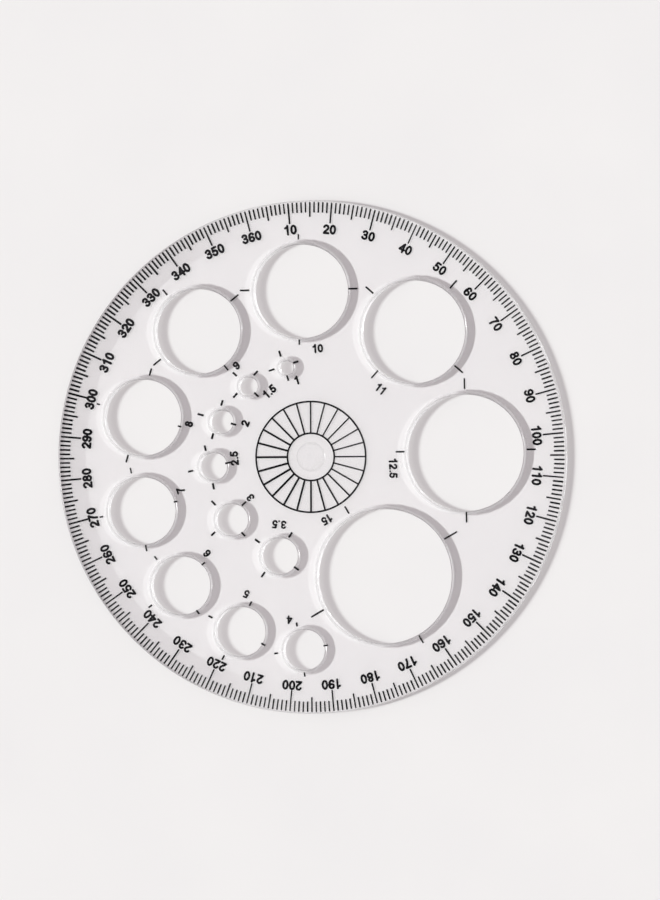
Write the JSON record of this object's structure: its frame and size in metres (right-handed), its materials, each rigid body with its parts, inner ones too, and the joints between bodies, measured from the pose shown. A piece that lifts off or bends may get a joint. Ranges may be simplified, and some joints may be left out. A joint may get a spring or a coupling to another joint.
{
  "type": "protractor",
  "caption": "Clear round protractor, printed with a full-circle degree scale round its rim and pierced by circle template holes in graded sizes.",
  "frame": {"origin": "centre of the disc on the face that it rests on", "axes": "+Z out of the printed face, +Y towards the 360 mark, bearings count clockwise from it"},
  "size_m": [0.115, 0.115, 0.0021],
  "materials": {
    "clear_plastic": "clear moulded plastic sheet, polished faces and walls, faintly scratched",
    "black_ink": "thin matt black print"
  },
  "bodies": {
    "root": {"disc": "clear_plastic", "degree_scale": "black_ink", "centre_rosette": "black_ink", "numeral_010": "black_ink", "numeral_020": "black_ink", "numeral_030": "black_ink", "numeral_040": "black_ink", "numeral_050": "black_ink", "numeral_060": "black_ink", "numeral_070": "black_ink", "numeral_080": "black_ink", "numeral_090": "black_ink", "numeral_100": "black_ink", "numeral_110": "black_ink", "numeral_120": "black_ink", "numeral_130": "black_ink", "numeral_140": "black_ink", "numeral_150": "black_ink", "numeral_160": "black_ink", "numeral_170": "black_ink", "numeral_180": "black_ink", "numeral_190": "black_ink", "numeral_200": "black_ink", "numeral_210": "black_ink", "numeral_220": "black_ink", "numeral_230": "black_ink", "numeral_240": "black_ink", "numeral_250": "black_ink", "numeral_260": "black_ink", "numeral_270": "black_ink", "numeral_280": "black_ink", "numeral_290": "black_ink", "numeral_300": "black_ink", "numeral_310": "black_ink", "numeral_320": "black_ink", "numeral_330": "black_ink", "numeral_340": "black_ink", "numeral_350": "black_ink", "numeral_360": "black_ink", "radius_label_1": "black_ink", "radius_label_1_5": "black_ink", "radius_label_2": "black_ink", "radius_label_2_5": "black_ink", "radius_label_3": "black_ink", "radius_label_3_5": "black_ink", "radius_label_4": "black_ink", "radius_label_5": "black_ink", "radius_label_6": "black_ink", "radius_label_7": "black_ink", "radius_label_8": "black_ink", "radius_label_9": "black_ink", "radius_label_10": "black_ink", "radius_label_11": "black_ink", "radius_label_12_5": "black_ink", "radius_label_15": "black_ink"}
  },
  "joints": []
}
